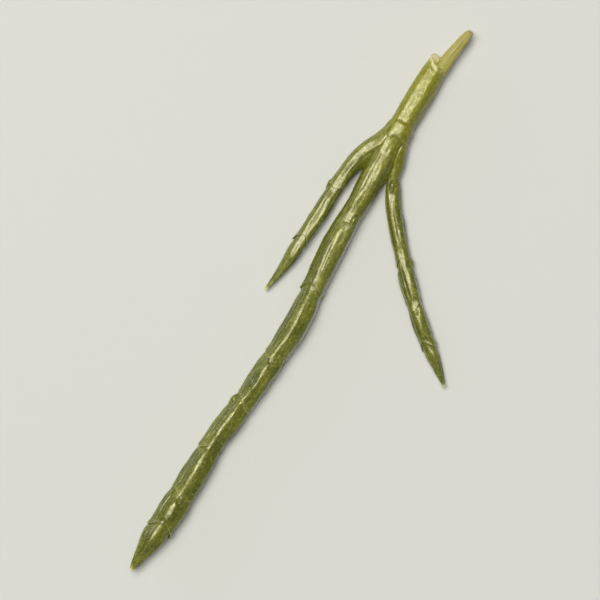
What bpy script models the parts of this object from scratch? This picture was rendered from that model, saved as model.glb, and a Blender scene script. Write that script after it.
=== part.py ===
"""A cut sprig of samphire, a jointed and leafless-looking fleshy shore plant, lying on a flat surface.

+X runs from the cut end to the growing tip, +Z is up, and the sprig rests on Z = 0, centred on the origin.
Every length below is in millimetres and becomes metres where the vertices are made.
"""

import math

import bmesh
import bpy
import numpy as np
from mathutils import Matrix, Vector

MM = 0.001
SPRIG = "samphire_sprig"

# Centre line of each stem: along the sprig from the cut end, across it, and up from the surface
MAIN_LINE = [
    (0.0, -0.5, 2.75),
    (6.8, -1.3, 2.3),
    (13.7, -1.2, 1.95),
    (20.4, -1.0, 2.1),
    (27.0, -0.6, 2.3),
    (33.9, -0.3, 2.3),
    (40.0, 0.0, 2.05),
    (46.7, 0.7, 2.1),
    (53.2, 1.5, 2.3),
    (60.1, 1.3, 2.25),
    (66.8, 1.1, 2.0),
    (74.5, 0.4, 1.95),
    (81.5, 0.4, 2.1),
    (89.3, 0.4, 2.15),
    (94.0, 0.1, 2.3),
    (99.6, 0.0, 2.7),
]
LEFT_LINE = [
    (18.6, -1.0, 2.2),
    (21.6, -2.4, 2.15),
    (24.6, -3.7, 1.9),
    (28.2, -4.5, 1.6),
    (33.0, -4.7, 1.35),
    (38.0, -4.7, 1.45),
    (43.0, -4.8, 1.55),
    (47.5, -5.0, 1.3),
    (51.4, -5.5, 1.25),
]
RIGHT_LINE = [
    (18.4, -0.6, 2.2),
    (21.0, 0.5, 2.1),
    (23.8, 1.75, 1.9),
    (26.4, 2.5, 1.7),
    (29.2, 4.2, 1.5),
    (32.2, 6.8, 1.3),
    (35.9, 10.2, 1.35),
    (39.4, 13.8, 1.45),
    (42.7, 17.6, 1.4),
    (45.9, 21.7, 1.15),
    (49.4, 26.4, 1.2),
]

# Joints of each stem from its start: length of the joint, its thickness at its fullest, and how far
# the lobes of its collar flare out. The last joint, a cone to the tip, takes what is left of the stem
CORE_PEG = (6.9, 2.2)
MAIN_JOINTS = [
    (13.2, 4.4, 0.3),
    (13.6, 4.0, 0.08),
    (12.8, 4.3, 0.1),
    (12.4, 4.1, 0.06),
    (8.7, 4.2, 0.08),
    (8.6, 4.3, 0.12),
    (8.6, 4.5, 0.08),
    (6.0, 4.5, 0.3),
]
MAIN_TIP_THICKNESS = 4.3
LEFT_JOINTS = [(13.4, 3.2, 0.06), (10.3, 3.0, 0.12)]
LEFT_TIP_THICKNESS = 2.8
RIGHT_JOINTS = [(8.8, 2.1, 0.12), (12.4, 2.9, 0.06), (7.0, 3.0, 0.08), (6.6, 2.8, 0.12)]
RIGHT_TIP_THICKNESS = 2.5

PEG_END_THICKNESS = 1.1
PEG_ASIDE = 0.8
TIP_END_THICKNESS = 0.8
SCAR_COLLAR_STAND = 0.18
SCAR_COLLAR_LENGTH = 0.7

# Each collar stands out a little, steps down to the next joint's neck, and rises to two opposite lobes.
# The next pair of lobes is turned by a quarter and a little more
COLLAR_STAND = 0.09
COLLAR_STEP = 0.22
LOBE_LENGTH = 1.5
LOBE_MEAN = 0.45
LOBE_TURN = math.pi / 2 + 0.2

# Shallow ribs run along the stems: their depth as a share of the radius, the number of each of the two
# sets round the stem, the second set's share of the first, and how far they drift round in a millimetre
RIB_DEPTH = 0.04
RIB_COUNTS = (5, 3)
SECOND_RIBS = 0.6
RIB_DRIFT = (0.05, -0.085)

# Share of a joint's length, and its thickness there as a share of the fullest
JOINT_SHAPE = [(0.0, 0.83), (0.05, 0.87), (0.13, 0.93), (0.26, 0.98), (0.45, 1.0), (0.64, 0.99)]
JOINT_SHAPE += [(0.8, 0.95), (0.9, 0.92), (0.96, 0.93)]
TIP_SHAPE = [(0.0, 0.88), (0.07, 0.93), (0.17, 0.94), (0.3, 0.88), (0.46, 0.74), (0.62, 0.58)]
TIP_SHAPE += [(0.78, 0.42), (0.91, 0.29)]
PEG_SHAPE = [(0.0, 0.72), (0.035, 0.94), (0.25, 1.06), (0.6, 1.0), (0.94, 1.0)]

# The share of a joint's length over which its own collar's lobes, and those behind it, bend the rings
LOBE_REACH = 0.3
NECK_REACH = 0.2

MAIN_SIDES = 20
SHOOT_SIDES = 16

# A centre line is cut into this many slices between two points, and its direction is read over this reach
SLICES_PER_STRETCH = 24
DIRECTION_REACH = 0.6

# Buds that lean out of the collars: stem, joint they lie on, angle round it in degrees, length, thickness.
# Each is sunk by a share of its own radius, leans out by some degrees and narrows towards its point
BUDS = [
    ("main", 2, 62.0, 2.9, 1.3),
    ("main", 3, -20.0, 2.6, 1.2),
    ("main", 5, 165.0, 2.5, 1.2),
    ("main", 7, 80.0, 2.6, 1.2),
    ("right", 1, 100.0, 2.1, 1.0),
    ("right", 2, 10.0, 2.2, 1.0),
    ("left", 1, 170.0, 2.2, 1.0),
]
BUD_SINK = 0.55
BUD_LEAN = 10.0
BUD_POINT = 1.1

# The underside is flattened a little where it bears on the surface
SURFACE_CUTTER = (300.0, 120.0, 10.0)

GREEN = (0.105, 0.17, 0.035, 1.0)
WET_ROUGHNESS = 0.28
SHARP_ABOVE = 40.0


def clear_scene():
    for found in list(bpy.data.objects):
        bpy.data.objects.remove(found, do_unlink=True)


def new_collection(name):
    collection = bpy.data.collections.new(name)
    bpy.context.scene.collection.children.link(collection)
    return collection


def stem_material():
    material = bpy.data.materials.new("fleshy_green")
    material.use_nodes = True
    shader = material.node_tree.nodes["Principled BSDF"]
    shader.inputs["Base Color"].default_value = GREEN
    shader.inputs["Roughness"].default_value = WET_ROUGHNESS
    shader.inputs["Metallic"].default_value = 0.0
    return material


class CentreLine:
    """A smooth line through points chosen by hand, read by distance along it.

    Each stretch is a cubic whose slope at a point runs from the point before to the point after.
    """

    def __init__(self, points):
        given = np.array(points, float)
        slopes = np.gradient(given, axis=0)
        share = np.linspace(0.0, 1.0, SLICES_PER_STRETCH, endpoint=False)[:, None]
        stretches = []
        for start, end, leave, arrive in zip(given, given[1:], slopes, slopes[1:]):
            rise = share**2 * (3 - 2 * share)
            stretches.append(
                start + (end - start) * rise
                + leave * share * (1 - share) ** 2
                - arrive * share**2 * (1 - share)
            )
        self.points = np.vstack([*stretches, given[-1:]])
        steps = np.linalg.norm(np.diff(self.points, axis=0), axis=1)
        self.distance = np.concatenate([[0.0], np.cumsum(steps)])
        self.length = self.distance[-1]

    def at(self, distance):
        return np.array([np.interp(distance, self.distance, axis) for axis in self.points.T])

    def frame(self, distance):
        """The direction of growth there, with the sideways and upward directions square to it."""
        ahead = self.at(distance + DIRECTION_REACH)
        forward = Vector(ahead - self.at(distance - DIRECTION_REACH)).normalized()
        side = Vector((0.0, 0.0, 1.0)).cross(forward).normalized()
        up = forward.cross(side)
        return forward, side, up


class Row:
    """One ring of the loft: its place along the stem, its radius, how the collar's lobes bend it, and
    how far its middle stands to the side of the centre line."""

    def __init__(self, place, radius, phase, shift=0.0, flare=0.0, aside=0.0):
        self.place = place
        self.radius = radius
        self.phase = phase
        self.shift = shift
        self.flare = flare
        self.aside = aside

    def offsets(self, angle):
        """How far forward and how far out a point of the ring stands at an angle round the stem.

        The squared cosine is 1 at the points of the collar's two lobes and 0 between them.
        """
        lobe = math.cos(angle - self.phase) ** 2
        first, second = (
            math.cos(count * angle + drift * self.place) for count, drift in zip(RIB_COUNTS, RIB_DRIFT)
        )
        ribs = first + SECOND_RIBS * second
        forward = self.shift * (lobe - LOBE_MEAN)
        outward = self.radius * (1 + RIB_DEPTH * ribs) + self.flare * lobe
        return forward, outward


def joint_rows(start, length, thickness, flare, phase, phase_behind):
    """The rings of one joint, from the neck inside the collar behind to its own collar's edge."""
    rows = []
    radius = thickness / 2
    for share, fullness in JOINT_SHAPE:
        neck = max(0.0, 1 - share / NECK_REACH)
        near_collar = max(0.0, (share - 1 + LOBE_REACH) / LOBE_REACH)
        bend = phase_behind if neck > 0 else phase
        shift = LOBE_LENGTH * (neck if neck > 0 else near_collar**1.5)
        place = start + COLLAR_STEP + share * (length - COLLAR_STEP)
        rows.append(Row(place, radius * fullness, bend, shift, flare * near_collar**3))
    edge = radius * JOINT_SHAPE[-1][1] + COLLAR_STAND
    rows.append(Row(start + length, edge, phase, LOBE_LENGTH, flare))
    return rows


def tip_rows(start, end, thickness, phase_behind):
    """The last joint, a long cone that ends in a small blunt point."""
    rows = []
    length = end - start
    for share, fullness in TIP_SHAPE:
        neck = max(0.0, 1 - share / NECK_REACH)
        place = start + COLLAR_STEP + share * (length - COLLAR_STEP)
        rows.append(Row(place, thickness / 2 * fullness, phase_behind, LOBE_LENGTH * neck))
    rows.append(Row(end, TIP_END_THICKNESS / 2, phase_behind))
    return rows


def peg_rows(phase):
    """The bare woody core at the cut end, and the ring of skin left standing where it enters the stem."""
    length, thickness = CORE_PEG
    rows = []
    for share, fullness in PEG_SHAPE:
        taper = PEG_END_THICKNESS + (thickness - PEG_END_THICKNESS) * share
        rows.append(Row(share * length, taper / 2 * fullness, phase, aside=PEG_ASIDE))
    standing = MAIN_JOINTS[0][1] / 2 * JOINT_SHAPE[0][1] + SCAR_COLLAR_STAND
    rows.append(Row(length, thickness / 2 + COLLAR_STAND, phase, LOBE_LENGTH, aside=PEG_ASIDE))
    rows.append(Row(length + COLLAR_STEP, standing, phase, LOBE_LENGTH))
    rows.append(Row(length + SCAR_COLLAR_LENGTH, standing, phase, LOBE_LENGTH))
    return rows


def stem_rows(joints, tip_thickness, line, first_phase, start=0.0):
    """Rings of a whole stem: each pair of lobes stands across the pair before it."""
    rows = []
    phase = first_phase
    behind = first_phase + math.pi / 2
    for length, thickness, flare in joints:
        rows += joint_rows(start, length, thickness, flare, phase, behind)
        start += length
        behind = phase
        phase += LOBE_TURN
    return rows + tip_rows(start, line.length, tip_thickness, behind)


def loft(name, line, rows, sides, collection):
    """A closed skin over the rings, which differ in size and outline, with a flat cap at each end."""
    bm = bmesh.new()
    rings = []
    for row in rows:
        ring = []
        for number in range(sides):
            angle = 2 * math.pi * number / sides
            forward, outward = row.offsets(angle)
            place = min(max(row.place + forward, 0.0), line.length)
            _, side, up = line.frame(place)
            centre = Vector(line.at(place)) + row.aside * side
            point = centre + outward * (math.cos(angle) * side + math.sin(angle) * up)
            ring.append(bm.verts.new(point * MM))
        rings.append(ring)
    for lower, upper in zip(rings, rings[1:]):
        for number in range(sides):
            following = (number + 1) % sides
            bm.faces.new((lower[number], lower[following], upper[following], upper[number]))
    bm.faces.new(rings[0])
    bm.faces.new(rings[-1])
    bmesh.ops.recalc_face_normals(bm, faces=bm.faces)
    mesh = bpy.data.meshes.new(name)
    bm.to_mesh(mesh)
    bm.free()
    stem = bpy.data.objects.new(name, mesh)
    collection.objects.link(stem)
    return stem


def bud(name, line, place, stem_radius, angle, length, thickness, collection):
    """A small pointed bud that leans out of the angle between a collar and the stem above it."""
    growth, side, up = line.frame(place)
    outward = math.cos(angle) * side + math.sin(angle) * up
    lean = math.radians(BUD_LEAN)
    axis = (math.cos(lean) * growth + math.sin(lean) * outward).normalized()
    root = Vector(line.at(place)) + outward * (stem_radius - BUD_SINK * thickness / 2)
    bm = bmesh.new()
    bmesh.ops.create_uvsphere(bm, u_segments=8, v_segments=6, radius=0.5)
    for vertex in bm.verts:
        narrowing = 1 - BUD_POINT * max(0.0, vertex.co.z)
        vertex.co.x *= narrowing
        vertex.co.y *= narrowing
    turn = axis.to_track_quat("Z", "Y").to_matrix().to_4x4()
    spread = Matrix.Diagonal((thickness, thickness, length, 1.0))
    middle = Matrix.Translation((root + axis * length / 4) * MM)
    bmesh.ops.transform(bm, matrix=middle @ turn @ Matrix.Scale(MM, 4) @ spread, verts=bm.verts)
    mesh = bpy.data.meshes.new(name)
    bm.to_mesh(mesh)
    bm.free()
    made = bpy.data.objects.new(name, mesh)
    collection.objects.link(made)
    return made


def add_buds(lines, stems, collection):
    for number, (stem, joint, angle, length, thickness) in enumerate(BUDS):
        start, joints = stems[stem]
        place = start + sum(joint_length for joint_length, *_ in joints[:joint])
        radius = joints[joint][1] / 2 * JOINT_SHAPE[1][1]
        bud(f"bud_{number}", lines[stem], place, radius, math.radians(angle), length, thickness, collection)


def apply_modifier(target, modifier):
    bpy.context.view_layer.objects.active = target
    bpy.ops.object.modifier_apply(modifier=modifier.name)


def join_to(target, collection):
    """Grow the collection's pieces together with the main stem into one body."""
    union = target.modifiers.new("grown_together", "BOOLEAN")
    union.operation = "UNION"
    union.operand_type = "COLLECTION"
    union.collection = collection
    union.solver = "EXACT"
    apply_modifier(target, union)
    for piece in list(collection.objects):
        bpy.data.objects.remove(piece, do_unlink=True)


def surface_cutter(collection):
    """A block whose top is the surface that the sprig lies on."""
    length, width, depth = SURFACE_CUTTER
    bm = bmesh.new()
    bmesh.ops.create_cube(bm, size=1.0)
    place = Matrix.Translation((0.0, 0.0, -depth / 2 * MM))
    size = Matrix.Diagonal((length * MM, width * MM, depth * MM, 1.0))
    bmesh.ops.transform(bm, matrix=place @ size, verts=bm.verts)
    mesh = bpy.data.meshes.new("surface_block")
    bm.to_mesh(mesh)
    bm.free()
    block = bpy.data.objects.new("surface_block", mesh)
    block.hide_render = True
    block.display_type = "WIRE"
    collection.objects.link(block)
    return block


def rest_on_surface(target, block):
    cut = target.modifiers.new("bearing_flats", "BOOLEAN")
    cut.operation = "DIFFERENCE"
    cut.object = block
    cut.solver = "EXACT"
    apply_modifier(target, cut)


def centre_over_origin(target):
    """Move the finished mesh so that its box is centred on the origin in X and Y."""
    corners = np.array([vertex.co for vertex in target.data.vertices])
    middle = (corners.min(axis=0) + corners.max(axis=0)) / 2
    target.data.transform(Matrix.Translation((-middle[0], -middle[1], 0.0)))


def build_sprig():
    sprig = new_collection("samphire")
    cutters = new_collection("cutters")
    shoots = new_collection("shoots")
    lines = {"main": CentreLine(MAIN_LINE), "left": CentreLine(LEFT_LINE), "right": CentreLine(RIGHT_LINE)}
    across = 0.0
    upright = math.pi / 2
    skin_start = CORE_PEG[0] + SCAR_COLLAR_LENGTH
    stems = {"main": (skin_start, MAIN_JOINTS), "left": (0.0, LEFT_JOINTS), "right": (0.0, RIGHT_JOINTS)}
    main_rows = stem_rows(MAIN_JOINTS, MAIN_TIP_THICKNESS, lines["main"], across, skin_start)
    left_rows = stem_rows(LEFT_JOINTS, LEFT_TIP_THICKNESS, lines["left"], upright)
    right_rows = stem_rows(RIGHT_JOINTS, RIGHT_TIP_THICKNESS, lines["right"], upright)
    main = loft(SPRIG, lines["main"], peg_rows(upright) + main_rows, MAIN_SIDES, sprig)
    loft("left_shoot", lines["left"], left_rows, SHOOT_SIDES, shoots)
    loft("right_shoot", lines["right"], right_rows, SHOOT_SIDES, shoots)
    add_buds(lines, stems, shoots)
    join_to(main, shoots)
    bpy.data.collections.remove(shoots)
    rest_on_surface(main, surface_cutter(cutters))
    centre_over_origin(main)
    main.data.materials.append(stem_material())
    main.data.shade_smooth()
    main.data.set_sharp_from_angle(angle=math.radians(SHARP_ABOVE))


clear_scene()
build_sprig()
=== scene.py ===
"""The looks of a cut sprig of samphire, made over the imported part: wet fleshy green joints on a woody core.

The sections follow the plant from its cut end: the woody core, the main stem, the two side shoots, the buds,
then the surface it lies on, the light and the camera. Lengths are in millimetres until a mesh is made. Angles
round a stem are in radians: 0 is the photograph's right, pi / 2 the top, and pi its left.
"""

import math

import bpy
import numpy as np
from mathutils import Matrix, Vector


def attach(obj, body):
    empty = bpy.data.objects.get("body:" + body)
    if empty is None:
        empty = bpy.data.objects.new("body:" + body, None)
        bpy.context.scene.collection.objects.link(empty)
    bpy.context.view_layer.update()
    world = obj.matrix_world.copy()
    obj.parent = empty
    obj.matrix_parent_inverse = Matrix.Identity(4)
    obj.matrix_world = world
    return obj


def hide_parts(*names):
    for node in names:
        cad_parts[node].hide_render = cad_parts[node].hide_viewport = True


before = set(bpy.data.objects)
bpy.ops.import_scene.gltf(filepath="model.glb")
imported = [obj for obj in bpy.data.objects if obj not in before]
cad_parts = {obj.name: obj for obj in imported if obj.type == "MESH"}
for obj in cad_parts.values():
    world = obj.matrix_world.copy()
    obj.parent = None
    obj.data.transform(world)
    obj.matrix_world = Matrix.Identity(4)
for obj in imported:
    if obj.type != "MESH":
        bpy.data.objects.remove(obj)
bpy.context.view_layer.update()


# The woody core. The strand of wood inside the stem stands bare at the cut end, where the old skin was
# stripped off, and runs on unseen inside the first joint. It is pale and fibrous, and its end was snapped,
# so the end is narrow and a little ragged round the pith.

MM = 0.001

# The main stem's centre line: along the sprig from the cut end, across it, and up from the surface
MAIN_POINTS = [
    (0.0, -0.5, 2.75),
    (6.8, -1.3, 2.3),
    (13.7, -1.2, 1.95),
    (20.4, -1.0, 2.1),
    (27.0, -0.6, 2.3),
    (33.9, -0.3, 2.3),
    (40.0, 0.0, 2.05),
    (46.7, 0.7, 2.1),
    (53.2, 1.5, 2.3),
    (60.1, 1.3, 2.25),
    (66.8, 1.1, 2.0),
    (74.5, 0.4, 1.95),
    (81.5, 0.4, 2.1),
    (89.3, 0.4, 2.15),
    (94.0, 0.1, 2.3),
    (99.6, 0.0, 2.7),
]

# The point of that plan which the part has at its origin
PLAN_MIDDLE = (49.836, 10.129, 0.0)

# How finely a centre line is read between its points, and how far ahead and behind its direction is taken
SLICES_PER_STRETCH = 24
DIRECTION_REACH = 0.6

CORE_LENGTH = 6.9
CORE_INSIDE = 3.0
CORE_SIDES = 72
CORE_ROWS = 150

# The core lies this far to the right in the torn ring. Under the skin, from this far in, it comes back to the
# middle over this length
CORE_ASIDE = 0.8
CORE_TURNS_BACK = 0.9
CORE_TURN_LENGTH = 2.5

# Distance from the end and radius: the snapped face from its pith outwards, then the strand
CORE_FACE = [(0.2, 0.06), (0.17, 0.13), (0.07, 0.19), (0.05, 0.27), (0.08, 0.35), (0.16, 0.42)]
CORE_STRAND = [(0.3, 0.52), (0.9, 0.66), (1.73, 0.79), (4.14, 0.94), (6.49, 1.1), (9.9, 1.1)]

# Fibres round the strand, how often they change along it, and how high they stand. They are lower where it is
# slimmer than FIBRE_RADIUS
CORE_FIBRES = [(9, 11.0, 0.05), (23, 6.0, 0.035), (40, 3.0, 0.012)]
FIBRE_RADIUS = 0.5

# The snapped end stands in and out by this much, so many times round, and it fades over this distance
CORE_RAGGED = 0.09
CORE_RAGS = 13
CORE_RAGS_FADE = 0.5
CORE_RAGS_SEED = 11

# The dark ring of pith on the snapped face: its radius, its width, its share, and how deep it can be seen
PITH_RADIUS = 0.16
PITH_WIDTH = 0.07
PITH_SHARE = 0.75
PITH_DEPTH = 0.3

# Random hills are laid out from this far before a stem's start, and those of an edge in rows this far apart
HILLS_MARGIN = 4.0
EDGE_ROWS = 5.0

STRAW = (0.44, 0.395, 0.10, 1.0)
STRAW_DARK = (0.29, 0.265, 0.045, 1.0)
STRAW_PALE = (0.58, 0.54, 0.22, 1.0)
CORE_GREEN = (0.36, 0.365, 0.05, 1.0)

# Where along the core its green comes in, and the most of it
CORE_GREENS = (3.0, 8.5)
CORE_GREEN_SHARE = 0.75

# How much each finer octave of a noise counts, and how much a stem's patches are drawn out along it
NOISE_ROUGHNESS = 0.55
PATCH_STRETCH = 0.6

# How high the grain of a surface stands, and for the wood its strength and the share of the fine grain in it
GRAIN_HEIGHT = 0.05
WOOD_GRAIN_STRENGTH = 0.9
WOOD_FINE_SHARE = 0.25

WOOD_ROUGHNESS = (0.38, 0.58)
WOOD_FINISH = {
    "Coat Weight": 0.22,
    "Coat Roughness": 0.12,
    "Specular IOR Level": 0.4,
    "Subsurface Weight": 0.15,
    "Subsurface Radius": (0.9 * MM, 0.7 * MM, 0.3 * MM),
    "Subsurface Scale": 1.0,
}


def smooth_through(knots, values, where):
    """Cubic pieces through the values at the knots.

    Between two knots it is the earlier value, plus the step to the later value times share squared times
    (3 - 2 share), plus each end's slope times its own cubic. A slope is the central difference there.
    """
    knots = np.asarray(knots, float)
    values = np.asarray(values, float)
    slopes = np.gradient(values, knots, axis=0)
    piece = np.clip(np.searchsorted(knots, where, side="right") - 1, 0, len(knots) - 2)
    width = knots[piece + 1] - knots[piece]
    share = (where - knots[piece]) / width
    spread = share.shape + (1,) * (values.ndim - 1)
    width, share = width.reshape(spread), share.reshape(spread)
    rise = share**2 * (3 - 2 * share)
    leaving = share * (1 - share) ** 2 * width
    arriving = share**2 * (1 - share) * width
    step = values[piece + 1] - values[piece]
    return values[piece] + step * rise + slopes[piece] * leaving - slopes[piece + 1] * arriving


def eased(share):
    """0 below 0, 1 above 1, and share squared times (3 - 2 share) between."""
    share = np.clip(share, 0.0, 1.0)
    return share**2 * (3 - 2 * share)


def bell(away, width):
    """A bell curve: e to the power of minus (away / width) squared."""
    return np.exp(-((away / width) ** 2))


def stem_line(points):
    """A stem's centre line as two tables: the distance travelled, and the point reached there."""
    count = len(points) - 1
    fine = np.linspace(0.0, count, SLICES_PER_STRETCH * count + 1)
    course = smooth_through(np.arange(count + 1), points, fine)
    steps = np.linalg.norm(np.diff(course, axis=0), axis=1)
    return np.concatenate([[0.0], np.cumsum(steps)]), course


def read_line(line, place):
    """The points of a centre line at an array of distances along it."""
    travelled, course = line
    return np.stack([np.interp(place, travelled, axis) for axis in course.T], axis=-1)


def heading(line, place):
    """A centre line's direction at each place: the step from just behind it to just ahead, made 1 long."""
    step = read_line(line, place + DIRECTION_REACH) - read_line(line, place - DIRECTION_REACH)
    return step / np.linalg.norm(step, axis=-1, keepdims=True)


def carried_round(line, place, outward, angle, aside=0.0):
    """A profile carried along a line: the point at each place along it and angle round it.

    The point is the line's point, plus aside times side, plus outward times (cos angle times side plus
    sin angle times up). Side is level and square to the line, and up is square to both.
    """
    ahead = heading(line, place)
    side = np.cross((0.0, 0.0, 1.0), ahead)
    side /= np.linalg.norm(side, axis=-1, keepdims=True)
    up = np.cross(ahead, side)
    out = np.cos(angle)[..., None] * side + np.sin(angle)[..., None] * up
    aside = np.broadcast_to(aside, outward.shape)[..., None]
    return read_line(line, place) + aside * side + outward[..., None] * out, out


def hills(seed, place, angle, around, along):
    """Smooth random hills between -1 and 1 over a stem.

    A lattice holds random heights, around of them round the stem and one every along millimetres. Inside
    a cell the four corner heights are blended by the eased share of the way across it, in both directions.
    """
    rows = (place + HILLS_MARGIN) / along
    columns = np.mod(angle / (2 * np.pi) * around, around)
    heights = np.random.default_rng(seed).uniform(-1, 1, (int(rows.max()) + 3, around))
    row, column = np.floor(rows).astype(int), np.floor(columns).astype(int) % around
    following = (column + 1) % around
    row_share, column_share = eased(rows - np.floor(rows)), eased(columns - np.floor(columns))
    near = heights[row, column] * (1 - column_share) + heights[row, following] * column_share
    far = heights[row + 1, column] * (1 - column_share) + heights[row + 1, following] * column_share
    return near * (1 - row_share) + far * row_share


def edge_hills(seed, angle, around):
    """Smooth random hills between -1 and 1 along an edge: those of one place, all the way round."""
    return hills(seed, 0 * angle, angle, around, EDGE_ROWS)


def closed_skin(name, grid, marks, material):
    """Closed tubes, one over each grid of points, with rows along a tube and columns round it.

    Each cell is a four-sided face, and a fan from the middle of the first and of the last row closes
    the ends. Marks are numbers kept at every point for the material to read.
    """
    tubes, rows, sides, _ = grid.shape
    number = np.arange(tubes * rows * sides).reshape(tubes, rows, sides)
    beside = np.roll(number, -1, axis=2)
    pole = tubes * rows * sides + np.arange(tubes)[:, None] + np.zeros(sides, int)
    cells = np.stack([number[:, :-1], beside[:, :-1], beside[:, 1:], number[:, 1:]], axis=-1).reshape(-1, 4)
    first = np.stack([beside[:, 0], number[:, 0], pole], axis=-1).reshape(-1, 3)
    last = np.stack([number[:, -1], beside[:, -1], pole + tubes], axis=-1).reshape(-1, 3)

    def with_poles(values):
        """One value for each point of the grid, then the means of the first rows and of the last rows."""
        values = values.reshape(tubes, rows, sides, -1)
        whole = [values.reshape(tubes * rows * sides, -1)]
        return np.vstack(whole + [values[:, row].mean(axis=1) for row in (0, -1)])

    mesh = bpy.data.meshes.new(name)
    points = (with_poles(grid) - PLAN_MIDDLE) * MM
    mesh.from_pydata(points.tolist(), [], cells.tolist() + first.tolist() + last.tolist())
    for mark, values in marks.items():
        kind, field = ("FLOAT_VECTOR", "vector") if values.shape == grid.shape else ("FLOAT", "value")
        kept = with_poles(values).astype(np.float32)
        mesh.attributes.new(mark, kind, "POINT").data.foreach_set(field, kept.ravel())
    mesh.shade_smooth()
    mesh.materials.append(material)
    piece = bpy.data.objects.new(name, mesh)
    bpy.context.scene.collection.objects.link(piece)
    return piece


def wrapped_place(place, angle, radius):
    """A point's place on the unrolled stem, closed on itself: radius cos angle, radius sin angle, place."""
    return np.stack([radius * np.cos(angle), radius * np.sin(angle), place], axis=-1)


def new_node(tree, kind, x, y, **settings):
    """A node of a kind, at x and y in the node editor, with its settings."""
    node = tree.nodes.new(kind)
    node.location = (x, y)
    for key, value in settings.items():
        setattr(node, key, value)
    return node


def feed(tree, sockets, values):
    """Each value goes to its socket: a number or a colour is set there, and an output is linked there."""
    for socket, value in zip(sockets, values):
        if isinstance(value, (int, float, tuple)):
            socket.default_value = value
        else:
            tree.links.new(value, socket)


def noise_node(tree, place, x, y, scale, detail):
    """Noise between 0 and 1 read at a place, with its detail in octaves."""
    node = new_node(tree, "ShaderNodeTexNoise", x, y)
    sockets = [node.inputs[name] for name in ("Vector", "Scale", "Detail", "Roughness")]
    feed(tree, sockets, (place, scale, detail, NOISE_ROUGHNESS))
    return node.outputs[0]


def range_node(tree, source, x, y, reads, gives=(0.0, 1.0)):
    """A smooth step from the first of gives to the second, as the source goes from the first of reads on."""
    node = new_node(tree, "ShaderNodeMapRange", x, y, interpolation_type="SMOOTHSTEP")
    sockets = [node.inputs[name] for name in ("Value", "From Min", "From Max", "To Min", "To Max")]
    feed(tree, sockets, (source, *reads, *gives))
    return node.outputs["Result"]


def math_node(tree, operation, x, y, first, second):
    """A sum, product or greater of two, each a number or an output."""
    node = new_node(tree, "ShaderNodeMath", x, y, operation=operation)
    feed(tree, node.inputs, (first, second))
    return node.outputs[0]


def blend_node(tree, share, x, y, first, second):
    """The first colour where the share is 0, the second where it is 1, and a mix between."""
    node = new_node(tree, "ShaderNodeMix", x, y, data_type="RGBA")
    feed(tree, (node.inputs[0], node.inputs[6], node.inputs[7]), (share, first, second))
    return node.outputs[2]


def new_material(name, x, finish):
    """A material whose shader stands at x in the node editor and has the finish that is the same all over."""
    material = bpy.data.materials.new(name)
    material.use_nodes = True
    shader = material.node_tree.nodes["Principled BSDF"]
    shader.location = (x, 0)
    for socket, value in finish.items():
        shader.inputs[socket].default_value = value
    return material, material.node_tree, shader


def raise_grain(tree, shader, x, y, strength, height):
    """The surface's grain as a bump, whose height is a share of GRAIN_HEIGHT."""
    bump = new_node(tree, "ShaderNodeBump", x, y)
    sockets = [bump.inputs[name] for name in ("Strength", "Distance", "Height")]
    feed(tree, sockets, (strength, GRAIN_HEIGHT * MM, height))
    tree.links.new(bump.outputs["Normal"], shader.inputs["Normal"])


def grown_grain_group():
    """Grain that follows growth, from the unrolled place on a stem: patches, long streaks and fine grain.

    The place along the stem is multiplied by a stretch before each noise reads it, which draws the
    pattern out along the stem: the streaks by the material's own, and the others by a little.
    """
    tree = bpy.data.node_groups.new("grown_grain", "ShaderNodeTree")
    face = tree.interface
    face.new_socket(name="Place", in_out="INPUT", socket_type="NodeSocketVector")
    for name in ("Patch Scale", "Streak Scale", "Fine Scale", "Stretch"):
        face.new_socket(name=name, in_out="INPUT", socket_type="NodeSocketFloat")
    for name in ("Patches", "Streaks", "Fine"):
        face.new_socket(name=name, in_out="OUTPUT", socket_type="NodeSocketFloat")
    entry = new_node(tree, "NodeGroupInput", -900, 0)
    leave = new_node(tree, "NodeGroupOutput", 300, 0)
    stretch = new_node(tree, "ShaderNodeCombineXYZ", -700, -200)
    feed(tree, stretch.inputs, (1.0, 1.0, entry.outputs["Stretch"]))
    drawn = new_node(tree, "ShaderNodeVectorMath", -520, -100, operation="MULTIPLY")
    feed(tree, drawn.inputs, (entry.outputs["Place"], stretch.outputs[0]))
    slightly = new_node(tree, "ShaderNodeVectorMath", -520, 150, operation="MULTIPLY")
    feed(tree, slightly.inputs, (entry.outputs["Place"], (1.0, 1.0, PATCH_STRETCH)))
    # Output, its scale, the place it reads, y in the editor, detail, and the noise that gives 0 and 1
    patterns = (
        ("Patches", "Patch Scale", slightly, 300, 3.0, (0.3, 0.7)),
        ("Streaks", "Streak Scale", drawn, 0, 4.0, (0.3, 0.72)),
        ("Fine", "Fine Scale", slightly, -300, 5.0, (0.3, 0.75)),
    )
    for output, scale, place, y, detail, reads in patterns:
        noise = noise_node(tree, place.outputs[0], -300, y, entry.outputs[scale], detail)
        tree.links.new(range_node(tree, noise, -60, y, reads), leave.inputs[output])
    return tree


def grain_of(tree, x, y, **scales):
    """The grain group placed in a material, reading the unrolled place kept on the mesh."""
    place = new_node(tree, "ShaderNodeAttribute", x - 220, y, attribute_name="wrapped").outputs["Vector"]
    grain = new_node(tree, "ShaderNodeGroup", x, y, node_tree=grown_grain)
    tree.links.new(place, grain.inputs["Place"])
    for socket, value in scales.items():
        grain.inputs[socket.replace("_", " ")].default_value = value
    return grain.outputs, place


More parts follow.
